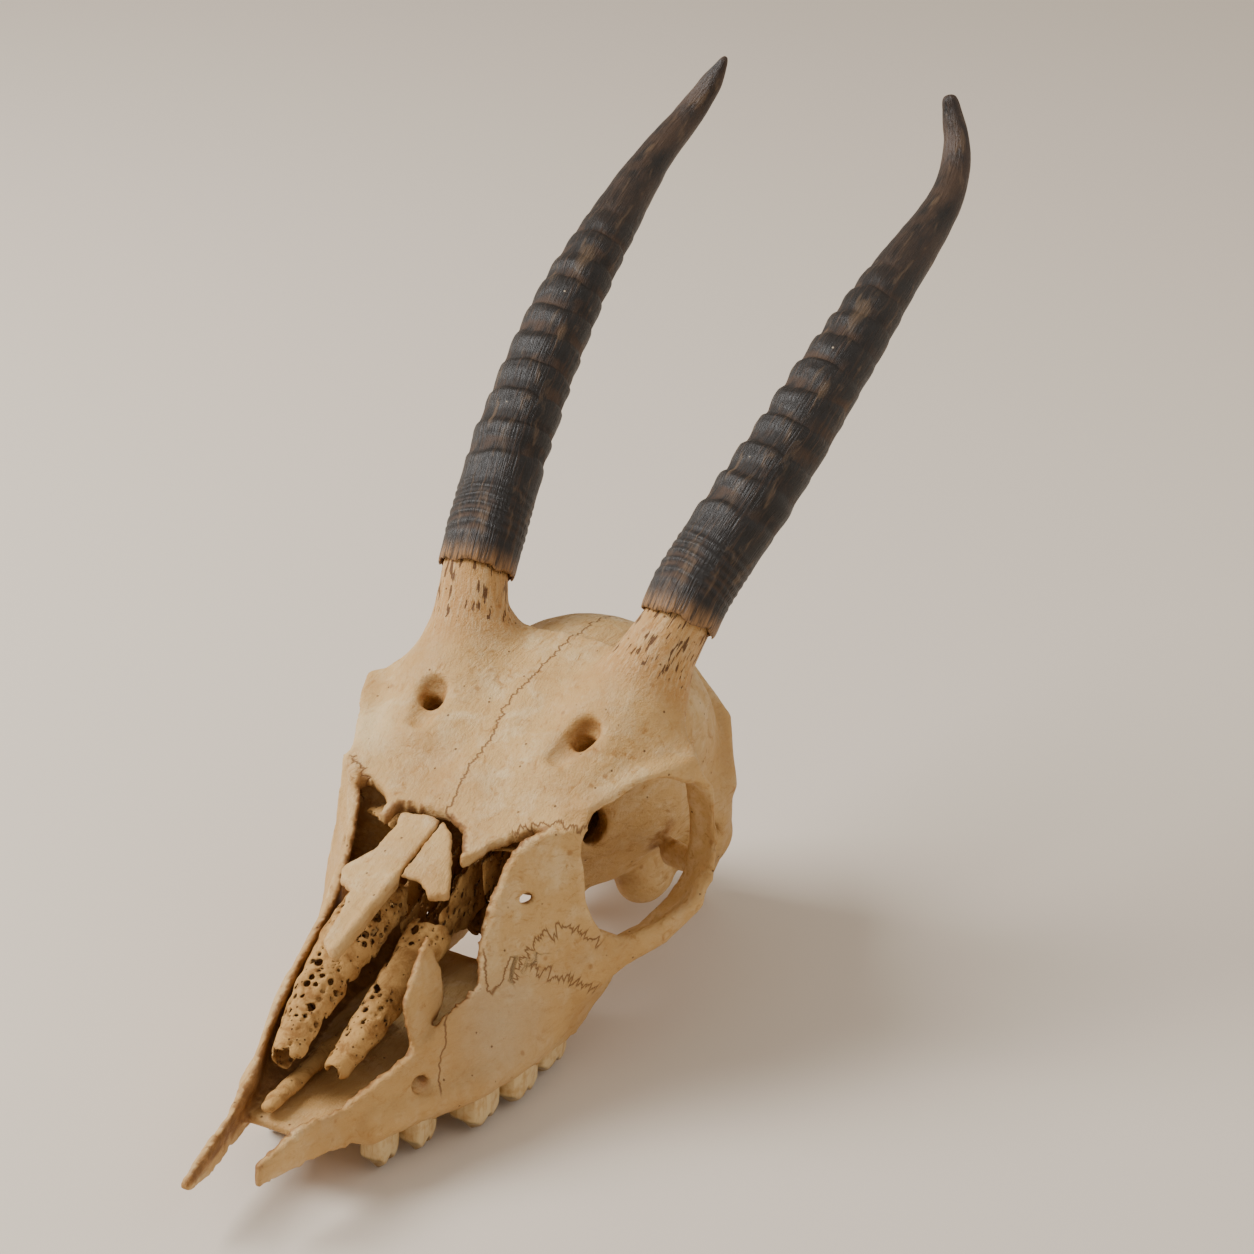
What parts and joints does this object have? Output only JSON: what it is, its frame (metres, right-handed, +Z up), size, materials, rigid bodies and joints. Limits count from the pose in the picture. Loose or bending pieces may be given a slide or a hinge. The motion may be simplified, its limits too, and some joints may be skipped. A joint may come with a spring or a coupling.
{
  "type": "antelope skull",
  "caption": "Dry skull of a small antelope with ringed dark horns, open eye sockets, cheek teeth and a broken nose; stands on its teeth and the spurs behind the jaw.",
  "frame": {"origin": "middle of the part's box in plan, on the plane that the cheek teeth stand on", "axes": "+Z up from the chewing faces; -Y towards the muzzle, +Y towards the horn tips; +X towards the animal's left"},
  "size_m": [0.0854, 0.2489, 0.1669],
  "materials": {
    "bone": "dry matt bone, stained brown in the hollows",
    "thin_bone": "thin porous brown bone",
    "horn": "satin dark horn with rings",
    "tooth": "worn stained enamel"
  },
  "bodies": {
    "root": {"skull": "bone", "nasal_left": "bone", "nasal_right": "bone", "turbinate_left": "thin_bone", "turbinate_right": "thin_bone", "vomer": "thin_bone", "horn_sheath_left": "horn", "horn_sheath_right": "horn", "premolar_front_left": "tooth", "premolar_front_right": "tooth", "premolar_back_left": "tooth", "premolar_back_right": "tooth", "molar_front_left": "tooth", "molar_front_right": "tooth", "molar_middle_left": "tooth", "molar_middle_right": "tooth", "molar_back_left": "tooth", "molar_back_right": "tooth"}
  },
  "joints": []
}
